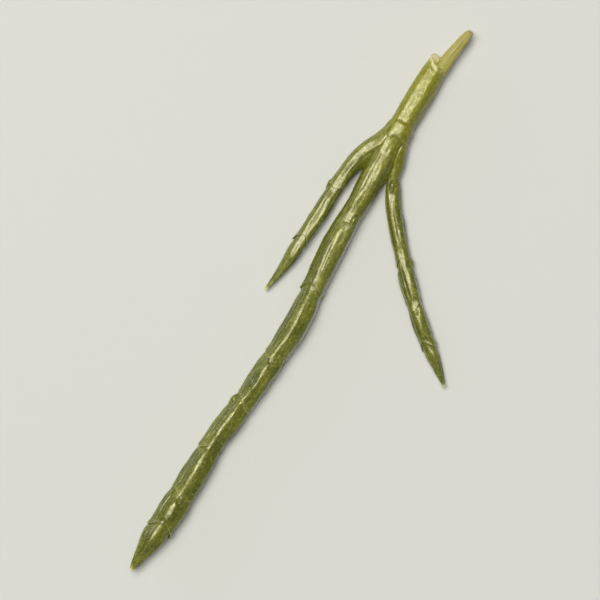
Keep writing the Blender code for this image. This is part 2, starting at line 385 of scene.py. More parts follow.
def bare_wood():
    """Pale straw wood: dark and pale streaks along it, greener towards the skin, and a dark ring of pith."""
    material, tree, shader = new_material("bare_wood", 700, WOOD_FINISH)
    grain, place = grain_of(tree, -700, 0, Patch_Scale=0.9, Streak_Scale=4.2, Fine_Scale=9.0, Stretch=0.05)
    streaked = blend_node(tree, grain["Streaks"], -400, 200, STRAW_DARK, STRAW)
    paler = math_node(tree, "MULTIPLY", -400, 20, grain["Fine"], grain["Patches"])
    flecked = blend_node(tree, paler, -200, 200, streaked, STRAW_PALE)
    split = new_node(tree, "ShaderNodeSeparateXYZ", -700, -300)
    tree.links.new(place, split.inputs[0])
    greening = range_node(tree, split.outputs["Z"], -400, -300, CORE_GREENS, (0.0, CORE_GREEN_SHARE))
    greened = blend_node(tree, greening, 0, 150, flecked, CORE_GREEN)
    pith = new_node(tree, "ShaderNodeAttribute", -200, -150, attribute_name="pith")
    pithed = blend_node(tree, pith.outputs["Fac"], 200, 150, greened, STRAW_DARK)
    tree.links.new(pithed, shader.inputs["Base Color"])
    rough = range_node(tree, grain["Fine"], 200, -100, (0.0, 1.0), WOOD_ROUGHNESS)
    tree.links.new(rough, shader.inputs["Roughness"])
    weak_fine = math_node(tree, "MULTIPLY", 0, -300, grain["Fine"], WOOD_FINE_SHARE)
    height = math_node(tree, "ADD", 200, -300, grain["Streaks"], weak_fine)
    raise_grain(tree, shader, 450, -300, WOOD_GRAIN_STRENGTH, height)
    return material


grown_grain = grown_grain_group()
main_line = stem_line(MAIN_POINTS)

# The core's rows go out over the snapped face and on along the strand. A point's place is its row's, plus
# random hills that fade from the end. Its distance out is its row's radius, plus the fibres' random hills,
# which are scaled down where the radius is under FIBRE_RADIUS.
core_angle = np.linspace(0.0, 2 * np.pi, CORE_SIDES, endpoint=False)[None, :]
face_place, face_radius = np.array(CORE_FACE).T
strand_place = np.linspace(CORE_STRAND[0][0], CORE_LENGTH + CORE_INSIDE, CORE_ROWS)
strand_radius = smooth_through(*np.array(CORE_STRAND).T, strand_place)
core_place = np.concatenate([face_place, strand_place])[:, None] + 0 * core_angle
core_radius = np.concatenate([face_radius, strand_radius])[:, None] + 0 * core_angle
core_angle = core_angle + 0 * core_place
core_fibre = sum(
    height * hills(number, core_place, core_angle, around, along)
    for number, (around, along, height) in enumerate(CORE_FIBRES)
)
core_ragged = CORE_RAGGED * edge_hills(CORE_RAGS_SEED, core_angle, CORE_RAGS)
core_ragged = core_ragged * np.exp(-core_place / CORE_RAGS_FADE)
core_centred = np.clip((core_place - CORE_LENGTH - CORE_TURNS_BACK) / CORE_TURN_LENGTH, 0.0, 1.0)
core_grid, _ = carried_round(
    main_line,
    core_place + core_ragged,
    core_radius * (1 + core_fibre / np.maximum(core_radius, FIBRE_RADIUS)),
    core_angle,
    CORE_ASIDE * (1 - core_centred),
)
core_pith = PITH_SHARE * bell(core_radius - PITH_RADIUS, PITH_WIDTH) * (core_place < PITH_DEPTH)
core_marks = {"wrapped": wrapped_place(core_place, core_angle, core_radius)[None], "pith": core_pith}
core = closed_skin("bare_core", core_grid[None], core_marks, bare_wood())
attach(core, "root")
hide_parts("samphire_sprig")


# The main stem. Nine fleshy joints grow out of each other's collars: each joint is a swollen sleeve of
# two fused leaves round the core, and its far edge ends in two low opposite lobes. The skin is smooth and
# wet, sunken into a few lengthwise furrows, and torn round the bare core where the oldest joint came off.

# Joints: length, thickness at the fullest, and how far the lobes of the collar stand out
MAIN_JOINTS = [
    (13.2, 4.4, 0.3),
    (13.6, 4.0, 0.08),
    (12.8, 4.3, 0.1),
    (12.4, 4.1, 0.06),
    (8.7, 4.2, 0.08),
    (8.6, 4.3, 0.12),
    (8.6, 4.5, 0.08),
    (6.0, 4.5, 0.3),
]
MAIN_TIP_THICKNESS = 4.3
SKIN_START = 7.6
MAIN_SIDES = 128
MAIN_SEED = 40

# The angle of the first collar's lobes
MAIN_PHASE = 0.0

# The stems are drawn in to this share, so that the wrinkles stay within the part's size
DRAWN_IN = 0.96

# A joint's profile: share of its length, and outward as a share of half its thickness
JOINT_ROWS = 52
JOINT_SHAPE = [
    (0.0, 0.83), (0.05, 0.87), (0.13, 0.93), (0.26, 0.98), (0.45, 1.0), (0.64, 0.99),
    (0.8, 0.95), (0.9, 0.92), (1.0, 0.93),
]

# The last joint's profile, how its rows crowd, and its round point: its length as a share of its radius, its
# rows, and how far back it is pale
TIP_ROWS = 66
TIP_SHAPE = [
    (0.0, 0.88), (0.07, 0.93), (0.17, 0.94), (0.3, 0.88), (0.46, 0.74), (0.62, 0.58),
    (0.78, 0.42), (0.91, 0.29), (1.0, 0.19),
]
TIP_CROWDING = 0.85
TIP_ROUND = 0.7
TIP_ROUND_ROWS = 9
TIP_PALE = 0.5

# The collar: how deep the next joint sits in it, how it stands out at its edge, and the lobes' length,
# their mean height and the turn from one pair to the next
CUP_DEPTH = 0.4
CUP_GAP = 0.2
TIGHT_SHARE = 0.2
COLLAR_STEP = 0.22
COLLAR_STAND = 0.03
COLLAR_REACH = 0.9
LOBE_LENGTH = 1.5
LOBE_MEAN = 0.45
LOBE_TURN = math.pi / 2 + 0.2
LOBE_REACH = 0.3

# One lobe of a pair flares in full, the other by this share
FLARE_LEAST = 0.3

# The edge is uneven: how far, how many times round, and how many seeds there are for it
EDGE_UNEVEN = 0.13
EDGE_WAVES = 9
EDGE_SEEDS = 1000

# The lip rolls over and down into the cup: steps forward and outward from the edge, how much further in it
# goes even where the collar is tight, so that the next joint's neck stays under the skin, how pale, and how
# much painted shade its inside gets
LIP_STEPS = [
    (0.03, -0.01, 0.0, 1.0, 0.0), (0.05, -0.04, 0.0, 1.0, 0.0), (0.04, -0.08, 0.0, 0.6, 0.1),
    (-0.02, -0.11, 0.05, 0.2, 0.3), (-0.2, -0.14, 0.15, 0.0, 0.6), (-0.4, -0.16, 0.22, 0.0, 0.9),
]

# The neck widens from just inside the cup over this length, and is sunk this deep in it
NECK_START = 0.1
NECK_LENGTH = 1.3
NECK_SINK = 0.22

# How pale a lip is, when the torn ring is 1, and how soon that fades back along the joint
RIM_SHARE = 0.24
RIM_FADE = 0.14

# Painted shade at the bottom of a cup: how dark it is, and how soon that fades along the neck: in
# millimetres, or rows on the tip
CUP_SHADE = 0.8
CUP_FADE = 0.25
TIP_CUP_FADE = 4.0

# Low ribs: their depth as a share of the radius, and for each set how many, drift per millimetre and share
RIB_DEPTH = 0.04
RIBS = [(5, 0.05, 1.0), (3, -0.085, 0.6)]

# Random hills in the skin: how many round the stem, how far apart along it, and how high
SKIN_HILLS = [
    (3, 7.0, 0.12), (7, 4.0, 0.09), (13, 2.4, 0.05), (24, 1.5, 0.03), (34, 0.75, 0.02),
    (52, 0.45, 0.009),
]
HILLS_SEED = 20

# The hills are lower on a pale rim, in a cup and on the ridge by these shares, and where the stem is slim
RIM_QUIET = 0.75
CUP_QUIET = 0.8
RIDGE_QUIET = 0.45
RIDGE_QUIET_WIDTH = 0.6
SLIM_RADIUS = 1.5

# The oldest stretch of a stem is the plumpest: its hills and furrows have this share of their height at the
# start, and all of it from this distance on
OLD_SHARE = 0.3
OLD_REACH = 14.0

# Furrows along a joint: how many, and the least and most depth, width in radians and drift per millimetre
FURROWS = 4
FURROW_DEPTH = (0.05, 0.17)
FURROW_WIDTH = (0.1, 0.2)
FURROW_DRIFT = (-0.03, 0.03)

# Where along the joint a furrow begins and ends, at least and at most, and how soon it fades there
FURROW_BEGINS = (0.0, 0.3)
FURROW_ENDS = (0.72, 0.98)
FURROW_FADE = 0.18

# The banks of a furrow stand up by this share of its depth, and are this many times as wide
BANK_SHARE = 0.35
BANK_WIDTH = 2.2

# How much painted shade a furrow's bottom gets
FURROW_SHADE = 0.8

# Along the top of each joint the skin swells into a smooth ridge, where furrows stay shallow. It lies on the
# left of the oldest joint and moves, joint by joint, a little past the top, give or take RIDGE_WANDER
RIDGE_FIRST = 2.05
RIDGE_TURN = -0.16
RIDGE_LAST = 1.4
RIDGE_WANDER = 0.12
RIDGE_WIDTH = 0.45
RIDGE_STANDS = 0.12

# The skin beside the ridge sinks by this share of it. The ridge rises and falls over these shares of a joint,
# and it takes this share of a furrow's depth
RIDGE_LEVEL = 0.6
RIDGE_RISES = 0.3
RIDGE_FALLS = 0.25
RIDGE_FILLS = 0.75

# The long narrow furrow on the left shoulder of every joint, beside that ridge: its angle, give or take, its
# width, its depth joint by joint, and its shares of the drift and the start that another furrow has
LEFT_SHOULDER = 2.27
SHOULDER_WANDER = 0.1
SHOULDER_WIDTH = 0.075
SHOULDER_DEPTHS = (0.02, 0.05, 0.1, 0.13, 0.15, 0.16, 0.16, 0.15, 0.1)
SHOULDER_DRIFT = 0.3
SHOULDER_BEGINS = 0.3

# The torn ring of old skin round the core: distance along the stem, radius and how pale it is, from inside
# the core. The tear is slanted: it lies this much further along the stem on its upper side, and on its right
SCAR_RING = [
    (7.12, 0.3, 0.6), (7.06, 0.7, 0.7), (7.04, 0.95, 0.85), (7.0, 1.25, 1.0), (6.96, 1.5, 1.0),
    (6.95, 1.68, 1.0), (7.0, 1.81, 1.0), (7.1, 1.88, 0.85), (7.28, 1.9, 0.5), (7.5, 1.89, 0.2),
    (7.7, 1.87, 0.05),
]
SCAR_SLANT_UP = 0.85
SCAR_SLANT_RIGHT = 0.55

# How far the tear goes in and out, and how many times round. It starts at the radius SCAR_INNER and is whole
# at twice that, and inside it the ring keeps round the core
SCAR_RAGGED = 0.22
SCAR_RAGS = 17
SCAR_SEED = 7
SCAR_INNER = 0.9

# The ring's cream is its own colour, with a painted highlight on its left, towards the window. It keeps this
# share of its paleness on its right, away from the light. To its left it grows to 1, with the eased sum of
# these, the second times the cosine of the angle
SCAR_SHADED_SIDE = 0.25
SCAR_LIT_TURN = (0.65, -0.75)

# The first joint's skin starts this much past the depth of a cup
SCAR_OVERLAP = 0.25

# The web at the fork: its reach, and the radius and the stretch of each stem that it clings to
WEB_REACH = 1.3
LEFT_ROOT_RADIUS = 1.5
RIGHT_ROOT_RADIUS = 0.98
MAIN_FORK_RADIUS = 1.95
SHOOT_ROOT = (-1.0, 12.0)
MAIN_FORK = (12.0, 36.0)
MAIN_FORK_ROWS = slice(40, 130)
SHOOT_ROOT_ROWS = slice(0, 60)

# Where a stem bears on the surface, its skin is pressed flat at this height
BEARING_HEIGHT = 0.02

# The side shoots' centre lines, which the web at the fork needs too
LEFT_POINTS = [
    (18.6, -1.0, 2.2),
    (21.6, -2.4, 2.15),
    (24.6, -3.7, 1.9),
    (28.2, -4.5, 1.6),
    (33.0, -4.7, 1.35),
    (38.0, -4.7, 1.45),
    (43.0, -4.8, 1.55),
    (47.5, -5.0, 1.3),
    (51.4, -5.5, 1.25),
]
RIGHT_POINTS = [
    (18.4, -0.6, 2.2),
    (21.0, 0.5, 2.1),
    (23.8, 1.75, 1.9),
    (26.4, 2.5, 1.7),
    (29.2, 4.2, 1.5),
    (32.2, 6.8, 1.3),
    (35.9, 10.2, 1.35),
    (39.4, 13.8, 1.45),
    (42.7, 17.6, 1.4),
    (45.9, 21.7, 1.15),
    (49.4, 26.4, 1.2),
]

FLESH = (0.136, 0.155, 0.015, 1.0)
FLESH_DEEP = (0.054, 0.071, 0.008, 1.0)
FLESH_PALE = (0.36, 0.37, 0.078, 1.0)
FLESH_OLD = (0.275, 0.265, 0.017, 1.0)
RIM_CREAM = (0.74, 0.70, 0.38, 1.0)
# Painted shade: the colour that cups, lip insides, furrows, bud slits and bud feet are darkened towards
FURROW_SHADE_COLOUR = (0.022, 0.038, 0.006, 1.0)

# The skin's colour in shares: the least and most green in its patches, the pale of its streaks, the yellow at
# the start of a stem and the age at which that ends, and the painted shade of a hollow
PATCH_GREEN = (0.35, 1.0)
STREAK_PALE = 0.28
OLD_YELLOW = 0.85
YELLOW_ENDS = 0.45
HOLLOW_SHADE = 0.85

# Flecks: their scale and detail, the noise that makes them pale or dark, how strong each is, and the share of
# the dark ones at the start of a stem and the age from which they are all there
FLECK_SCALE = 2.7
FLECK_DETAIL = 2.0
PALE_FLECKS = (0.54, 0.7)
PALE_FLECK_SHARE = 0.55
DARK_FLECKS = (0.46, 0.32)
DARK_FLECK_SHARE = 0.5
OLD_FLECKS = 0.22
FLECKS_WHOLE = 0.4

# Cream comes in patches on a lip, with this share between them, and is whole where the rim is palest
CREAM_PATCHES = (0.1, 0.6)
CREAM_LEAST = 0.35
CREAM_WHOLE = (0.45, 0.7)

# The film of oil gives the highlights a yellow tint. Its weight goes from the first number to the second over
# these rims, and at the start of a stem it has this share, which grows to 1 over these ages
OIL_TINT = (1.0, 0.97, 0.58, 1.0)
OIL_WEIGHT = (0.6, 0.38)
OIL_RIMS = (0.2, 1.0)
OIL_ON_OLD = 0.45
OIL_AGES = (0.1, 0.3)

FLESH_ROUGHNESS = (0.22, 0.44)
FLESH_GRAIN_STRENGTH = 0.5
FLESH_STREAK_SHARE = 0.45
FLESH_FINISH = {
    "Coat Roughness": 0.15,
    "Coat IOR": 1.4,
    "Specular IOR Level": 0.62,
    "Specular Tint": OIL_TINT,
    "Subsurface Weight": 0.25,
    "Subsurface Radius": (0.8 * MM, 1.0 * MM, 0.25 * MM),
    "Subsurface Scale": 1.0,
}


def round_gap(angle, middle):
    """The turn from the middle angle, between -pi and pi."""
    return np.mod(angle - middle + np.pi, 2 * np.pi) - np.pi


def wrinkled(run):
    """The share of their height that hills and furrows have: OLD_SHARE at 0, eased to 1 at OLD_REACH."""
    return OLD_SHARE + (1 - OLD_SHARE) * eased(run / OLD_REACH)


def opening(lobe):
    """How open a collar is: TIGHT_SHARE between its lobes, and in step with the lobe up to 1 at its point."""
    return TIGHT_SHARE + (1 - TIGHT_SHARE) * lobe


def furrow_lines(angle, run, share, luck, ridge, depths):
    """Lengthwise furrows: each is a bell curve round its own angle, which drifts along the stem.

    It fades in and out along the joint, at ends drawn at random. The result is how deep the skin sinks,
    less a low bank on each side and less the ridge, which is one more bell curve, and the painted shade
    there, a darkening that stands in for the shade in the groove: the mean of the furrow's bell and its
    banks', times its share of the greatest depth. Depths are the share of their depth that the furrows have
    on this joint, and the depth of the one on its left shoulder.
    """
    furrowed, shoulder = depths
    ridge = ridge + luck.uniform(-RIDGE_WANDER, RIDGE_WANDER)
    swelling = bell(round_gap(angle, ridge), RIDGE_WIDTH)
    swelling = swelling * eased(share / RIDGE_RISES) * eased((1 - share) / RIDGE_FALLS)
    sink = -RIDGE_STANDS * (swelling - RIDGE_LEVEL)
    shade = np.zeros_like(sink)
    for number in range(FURROWS + 1):
        middle, depth = luck.uniform(0, 2 * np.pi), furrowed * luck.uniform(*FURROW_DEPTH)
        width, drift = luck.uniform(*FURROW_WIDTH), luck.uniform(*FURROW_DRIFT)
        begin, end = luck.uniform(*FURROW_BEGINS), luck.uniform(*FURROW_ENDS)
        if number == FURROWS:
            middle, depth = LEFT_SHOULDER + SHOULDER_WANDER * (middle / np.pi - 1), shoulder
            width, drift = SHOULDER_WIDTH, SHOULDER_DRIFT * drift
            begin, end = SHOULDER_BEGINS * begin, FURROW_ENDS[1]
        depth *= 1 - RIDGE_FILLS * bell(middle - ridge, RIDGE_WIDTH)
        away = round_gap(angle - drift * run, middle)
        fade = eased((share - begin) / FURROW_FADE) * eased((end - share) / FURROW_FADE)
        furrow = bell(away, width) * fade
        banks = bell(away, BANK_WIDTH * width) * fade
        sink += depth * ((1 + BANK_SHARE) * furrow - BANK_SHARE * banks)
        shade = np.maximum(shade, (furrow + banks) / 2 * depth / FURROW_DEPTH[1])
    return sink, shade


def collar_seat(edge, phase, angle):
    """The seat that a collar gives the next joint: its radius round the stem, and how far it is bent forward.

    The bend is the lobe length times (the squared cosine of the angle from the lobes, less its mean).
    """
    lobe = np.cos(angle - phase) ** 2
    return edge - CUP_GAP * opening(lobe), LOBE_LENGTH * (lobe - LOBE_MEAN)


def along_joint(length, inside, thickness, shape, rows, crowding=1.0):
    """Rows along a joint: how far each has run past the collar behind, its share of the joint, and outward.

    They start inside the cup and lie closer at both ends: the share run is half of (1 - cosine of pi times an
    even count to the power of crowding). Outward is half the thickness times the shape.
    """
    even = np.linspace(0.0, 1.0, rows) ** crowding
    run = ((1 - np.cos(np.pi * even)) / 2 * (length + inside) - inside)[:, None]
    share = np.clip((run - COLLAR_STEP) / (length - COLLAR_STEP), 0.0, 1.0)
    outward = thickness / 2 * smooth_through(*np.array(shape).T, share[:, 0])[:, None]
    return run, share, outward


def out_of_seat(outward, held, run):
    """Outward eased from the radius that the seat holds to its own, and sunk a little inside the cup."""
    own = eased((run + NECK_START) / NECK_LENGTH)
    return held + (outward - held) * own - NECK_SINK * eased(-run / CUP_DEPTH)


def grown_joint(start, joint, phase, seat, angle, luck, ridge, depths):
    """One joint, from inside the collar behind it to its own lip.

    Outward is half the thickness times the joint's shape, and it narrows to fit the seat behind. Near its
    end it stands out by the collar, and its lobes flare. Each ring is bent forward: at its neck as the seat
    is, and at its end by the lobe length times (the squared cosine of the angle from its lobes, less its
    mean). Near goes from 0 to 1 over the last LOBE_REACH of the joint. The bend grows with its power of 1.5,
    the flare with its cube and the uneven edge with its fourth power. Returns place, outward, rim, the
    painted shade in the cup and the painted shade in the furrows, each a grid.
    """
    length, thickness, flare = joint
    inside = 0.0 if seat is None else CUP_DEPTH
    run, share, outward = along_joint(length, inside, thickness, JOINT_SHAPE, JOINT_ROWS)
    own_lobe = np.cos(angle - phase) ** 2
    near = np.clip((share - 1 + LOBE_REACH) / LOBE_REACH, 0.0, 1.0)
    uneven = EDGE_UNEVEN * edge_hills(luck.integers(EDGE_SEEDS), angle, EDGE_WAVES)
    forward = near**1.5 * LOBE_LENGTH * (own_lobe - LOBE_MEAN) + near**4 * uneven
    if seat is not None:
        held, bend = seat
        outward = out_of_seat(outward, held, run)
        forward = forward + bend * (1 - eased(share / LOBE_REACH))
    outward = outward + COLLAR_STAND * eased((run - length + COLLAR_REACH) / COLLAR_REACH)
    one_sided = FLARE_LEAST + (1 - FLARE_LEAST) / 2 * (1 + np.cos(angle - phase))
    outward = outward + flare * own_lobe * near**3 * one_sided
    sink, furrow = furrow_lines(angle, run, share, luck, ridge, depths)
    place = start + run + forward
    outward = outward - sink
    rim = RIM_SHARE * np.exp(-(length - run) / RIM_FADE) + 0 * angle
    # Painted shade at the bottom of the cup, fading along the neck. The lip's last steps carry painted shade
    # on its inside
    cup = CUP_SHADE * np.exp(-(run + inside) / CUP_FADE) * (inside > 0) + 0 * angle
    ahead, out, sunk, pale, shade = np.array(LIP_STEPS).T[..., None]
    return (
        np.vstack([place, place[-1:] + ahead]),
        np.vstack([outward, outward[-1:] + out * opening(own_lobe) - sunk]),
        np.vstack([rim, RIM_SHARE * pale + 0 * angle]),
        np.vstack([cup, shade + 0 * angle]),
        np.vstack([furrow, furrow[-1:] + 0 * ahead]),
    )


def grown_tip(start, end, thickness, seat, angle, luck, ridge, depths):
    """The last joint: a long cone, then a round blunt point whose profile is a quarter of an ellipse.

    Returns what grown_joint does. Its rim is a bell curve of the distance from the end: the point is pale.
    """
    blunt = thickness / 2 * TIP_SHAPE[-1][1]
    length = end - start - TIP_ROUND * blunt
    run, share, outward = along_joint(length, CUP_DEPTH, thickness, TIP_SHAPE, TIP_ROWS, TIP_CROWDING)
    held, bend = seat
    outward = out_of_seat(outward, held, run)
    place = start + run + bend * (1 - eased(share / LOBE_REACH))
    sink, furrow = furrow_lines(angle, run, share, luck, ridge, depths)
    outward = outward - sink * outward / (thickness / 2)
    turn = np.linspace(0.0, np.pi / 2, TIP_ROUND_ROWS)[1:-1, None]
    place = np.vstack([place, place[-1:] + TIP_ROUND * blunt * np.sin(turn)])
    outward = np.vstack([outward, outward[-1:] * np.cos(turn)])
    furrow = np.vstack([furrow, furrow[-1:] * np.cos(turn)])
    # Painted shade at the bottom of the tip's cup, fading along its neck
    cup = CUP_SHADE * np.exp(-(np.arange(len(place))[:, None] / TIP_CUP_FADE)) + 0 * angle
    return place, outward, bell(end - place, TIP_PALE), cup, furrow


def torn_ring(angle, seed):
    """The torn face of old skin round the core, as grown_joint gives its rows, and the slant of its edge.

    A row's place is its own, plus the slant in step with its radius, plus random hills from SCAR_INNER out.
    """
    place, radius, rim = np.array(SCAR_RING).T[..., None]
    slant = SCAR_SLANT_UP * np.sin(angle) + SCAR_SLANT_RIGHT * np.cos(angle)
    skin = eased((radius - SCAR_INNER) / SCAR_INNER)
    ragged = SCAR_RAGGED * edge_hills(seed + SCAR_SEED, angle, SCAR_RAGS) * skin
    place = place + slant * np.minimum(radius / SCAR_RING[-1][1], 1) + ragged
    radius = radius + CORE_ASIDE * (1 - skin) * np.cos(angle)
    # The ring's own cream is palest on its left, towards the window: a painted highlight on the lit side
    rim = rim * (SCAR_SHADED_SIDE + (1 - SCAR_SHADED_SIDE) * eased(SCAR_LIT_TURN[0] + SCAR_LIT_TURN[1] * np.cos(angle)))
    return (place, radius, rim, 0 * place, 0 * place), slant


def grown_stem(line, joints, tip_thickness, phase, skin_start, seed, sides, shoulders, torn=False):
    """A whole stem as a grid of places along it and distances out from its centre line.

    Each pair of lobes stands a quarter turn and a little more on from the pair behind. Ribs, in fives and
    threes, and random hills are added to the joints' own outward distance.
    """
    angle = np.linspace(0.0, 2 * np.pi, sides, endpoint=False)[None, :]
    luck = np.random.default_rng(seed)
    start, seat = skin_start, None
    parts = []
    if torn:
        ring, slant = torn_ring(angle, seed)
        parts.append(ring)
        seat = SCAR_RING[-1][1], slant
    ridges = np.maximum(RIDGE_FIRST + RIDGE_TURN * np.arange(len(joints) + 1), RIDGE_LAST)
    for joint, ridge, shoulder in zip(joints, ridges, shoulders):
        length, thickness, _ = joint
        depths = wrinkled(start - skin_start), shoulder
        rows = grown_joint(start, joint, phase, seat, angle, luck, ridge, depths)
        if torn and start == skin_start:
            outside = rows[0][:, 0] - rows[0][0, 0] > CUP_DEPTH + SCAR_OVERLAP
            place, outward, rim, cup, furrow = (values[outside] for values in rows)
            rows = place, outward, rim, 0 * cup, furrow
        parts.append(rows)
        start += length
        seat = collar_seat(thickness / 2 * JOINT_SHAPE[-1][1] + COLLAR_STAND, phase, angle)
        phase += LOBE_TURN
    depths = 1.0, shoulders[-1]
    parts.append(grown_tip(start, line[0][-1], tip_thickness, seat, angle, luck, ridges[-1], depths))
    place, outward, rim, cup, furrow = (np.vstack(values) for values in zip(*parts))
    angle = angle + 0 * place
    ribs = sum(share * np.cos(count * angle + drift * place) for count, drift, share in RIBS)
    ridge_here = np.interp(place, np.linspace(skin_start, start, len(ridges)), ridges)
    quiet = (1 - RIM_QUIET * np.clip(rim, 0, 1)) * (1 - CUP_QUIET * np.clip(cup, 0, 1))
    quiet *= 1 - RIDGE_QUIET * bell(angle - ridge_here, RIDGE_QUIET_WIDTH)
    quiet *= np.clip(outward / SLIM_RADIUS, 0, 1) * wrinkled(place - skin_start)
    rough = sum(
        height * hills(number, place, angle, around, along)
        for number, (around, along, height) in enumerate(SKIN_HILLS, start=seed + HILLS_SEED)
    )
    outward = (outward * (1 + RIB_DEPTH * ribs) + rough * quiet) * DRAWN_IN
    # The cup and furrow marks hold painted shade for the material: a darkening that stands in for the shade
    # in cups and furrows
    return {"place": place, "outward": outward, "angle": angle, "rim": rim, "cup": cup, "furrow": furrow}


def placed(stem, line):
    """A stem's points on its centre line, and the outward direction at each."""
    return carried_round(line, np.clip(stem["place"], 0.0, line[0][-1]), stem["outward"], stem["angle"])


def stem_marks(stem, line):
    """What the flesh material reads at each point: rim, painted shade in hollows, age from 0 at the start,
    and the place.
    """
    return {
        "rim": np.clip(stem["rim"], 0, 1),
        "hollow_shade": np.clip(stem["cup"] + FURROW_SHADE * stem["furrow"], 0, 1),
        "age": stem["place"] / line[0][-1],
        "wrapped": wrapped_place(stem["place"], stem["angle"], stem["outward"])[None],
    }


def webbed(points, out, line, stretch, radius):
    """A soft web where a stem meets another: a point moves out by reach / 4 times (1 - gap / reach) squared.

    The gap is its distance from the other stem's round surface, on either side of it, along a stretch of
    that stem's centre line.
    """
    travelled, course = line
    near = course[(travelled > stretch[0]) & (travelled < stretch[1])]
    away = np.linalg.norm(points[..., None, :] - near, axis=-1) - radius
    gap = np.abs(away.min(axis=-1, keepdims=True))
    return points + WEB_REACH / 4 * np.clip(1 - gap / WEB_REACH, 0, 1) ** 2 * out


def wet_flesh():
    """Wet green skin: pale and dark flecks, painted shade in hollows, cream rims, yellower and less oily when
    old.
    """
    material, tree, shader = new_material("wet_flesh", 1100, FLESH_FINISH)
    grain, place = grain_of(tree, -900, 0, Patch_Scale=0.5, Streak_Scale=1.8, Fine_Scale=2.4, Stretch=0.22)
    rim, hollow_shade, age = (
        new_node(tree, "ShaderNodeAttribute", -900, y, attribute_name=mark).outputs["Fac"]
        for mark, y in (("rim", -350), ("hollow_shade", -530), ("age", -710))
    )
    patches = range_node(tree, grain["Patches"], -750, 500, (0.0, 1.0), PATCH_GREEN)
    patched = blend_node(tree, patches, -600, 300, FLESH_DEEP, FLESH)
    streaks = math_node(tree, "MULTIPLY", -600, 100, grain["Streaks"], STREAK_PALE)
    streaked = blend_node(tree, streaks, -400, 300, patched, FLESH_PALE)
    oldness = range_node(tree, age, -600, -400, (0.0, YELLOW_ENDS), (OLD_YELLOW, 0.0))
    aged = blend_node(tree, oldness, -300, 300, streaked, FLESH_OLD)
    flecks = noise_node(tree, place, -900, 350, FLECK_SCALE, FLECK_DETAIL)
    pale_share = range_node(tree, flecks, -600, 500, PALE_FLECKS, (0.0, PALE_FLECK_SHARE))
    dark_share = range_node(tree, flecks, -600, 700, DARK_FLECKS, (0.0, DARK_FLECK_SHARE))
    youth = range_node(tree, age, -400, 900, (0.0, FLECKS_WHOLE), (OLD_FLECKS, 1.0))
    pale_flecked = blend_node(tree, pale_share, -150, 300, aged, FLESH_PALE)
    dark_flecks = math_node(tree, "MULTIPLY", -200, 700, dark_share, youth)
    flecked = blend_node(tree, dark_flecks, 0, 300, pale_flecked, FLESH_DEEP)
    # Painted shade: cups, furrows, bud slits and bud feet are darkened towards the furrow colour by the
    # hollow mark
    shade_share = math_node(tree, "MULTIPLY", -400, -200, hollow_shade, HOLLOW_SHADE)
    shaded = blend_node(tree, shade_share, 200, 300, flecked, FURROW_SHADE_COLOUR)
    patchy = range_node(tree, grain["Patches"], -200, -100, CREAM_PATCHES, (CREAM_LEAST, 1.0))
    torn = range_node(tree, rim, -200, -300, CREAM_WHOLE)
    whole_or_patchy = math_node(tree, "MAXIMUM", 0, -100, patchy, torn)
    rim_share = math_node(tree, "MULTIPLY", 150, -100, rim, whole_or_patchy)
    rimmed = blend_node(tree, rim_share, 400, 300, shaded, RIM_CREAM)
    tree.links.new(rimmed, shader.inputs["Base Color"])
    rough = range_node(tree, grain["Fine"], 400, -100, (0.0, 1.0), FLESH_ROUGHNESS)
    tree.links.new(rough, shader.inputs["Roughness"])
    oil = range_node(tree, rim, 400, -300, OIL_RIMS, OIL_WEIGHT)
    drier = range_node(tree, age, 400, -450, OIL_AGES, (OIL_ON_OLD, 1.0))
    tree.links.new(math_node(tree, "MULTIPLY", 600, -350, oil, drier), shader.inputs["Coat Weight"])
    weak_streaks = math_node(tree, "MULTIPLY", 200, -500, grain["Streaks"], FLESH_STREAK_SHARE)
    height = math_node(tree, "ADD", 400, -500, grain["Fine"], weak_streaks)
    raise_grain(tree, shader, 800, -300, FLESH_GRAIN_STRENGTH, height)
    return material


# The main stem's grid is drawn out into a web towards each shoot, and pressed flat where it would sink below
# the surface it bears on.
flesh = wet_flesh()
left_line, right_line = stem_line(LEFT_POINTS), stem_line(RIGHT_POINTS)
main_form = (MAIN_JOINTS, MAIN_TIP_THICKNESS, MAIN_PHASE, SKIN_START, MAIN_SEED, MAIN_SIDES, SHOULDER_DEPTHS)
main_stem = grown_stem(main_line, *main_form, torn=True)
main_grid, main_out = placed(main_stem, main_line)
for shoot_line, root_radius in ((left_line, LEFT_ROOT_RADIUS), (right_line, RIGHT_ROOT_RADIUS)):
    main_grid[MAIN_FORK_ROWS] = webbed(
        main_grid[MAIN_FORK_ROWS], main_out[MAIN_FORK_ROWS], shoot_line, SHOOT_ROOT, root_radius
    )
main_grid[..., 2] = np.maximum(main_grid[..., 2], BEARING_HEIGHT)
main = closed_skin("main_stem", main_grid[None], stem_marks(main_stem, main_line), flesh)
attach(main, "root")
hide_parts("samphire_sprig")


# The side shoots. Two thinner shoots leave the first collar, one on each side, and are built of the same
# kind of joints as the main stem. The left one stays close along it, and the right one leans away.

LEFT_JOINTS = [(13.4, 3.2, 0.06), (10.3, 3.0, 0.12)]
LEFT_TIP_THICKNESS = 2.8
LEFT_SEED = 140
RIGHT_JOINTS = [(8.8, 2.1, 0.12), (12.4, 2.9, 0.06), (7.0, 3.0, 0.08), (6.6, 2.8, 0.12)]
RIGHT_TIP_THICKNESS = 2.5
RIGHT_SEED = 240
SHOOT_PHASE = math.pi / 2
SHOOT_SIDES = 96
SHOOT_SHOULDERS = (0.06, 0.08, 0.08, 0.08, 0.06)

# A shoot is as old at its root as the main stem is at this share of its length
SHOOT_AGE = 0.14

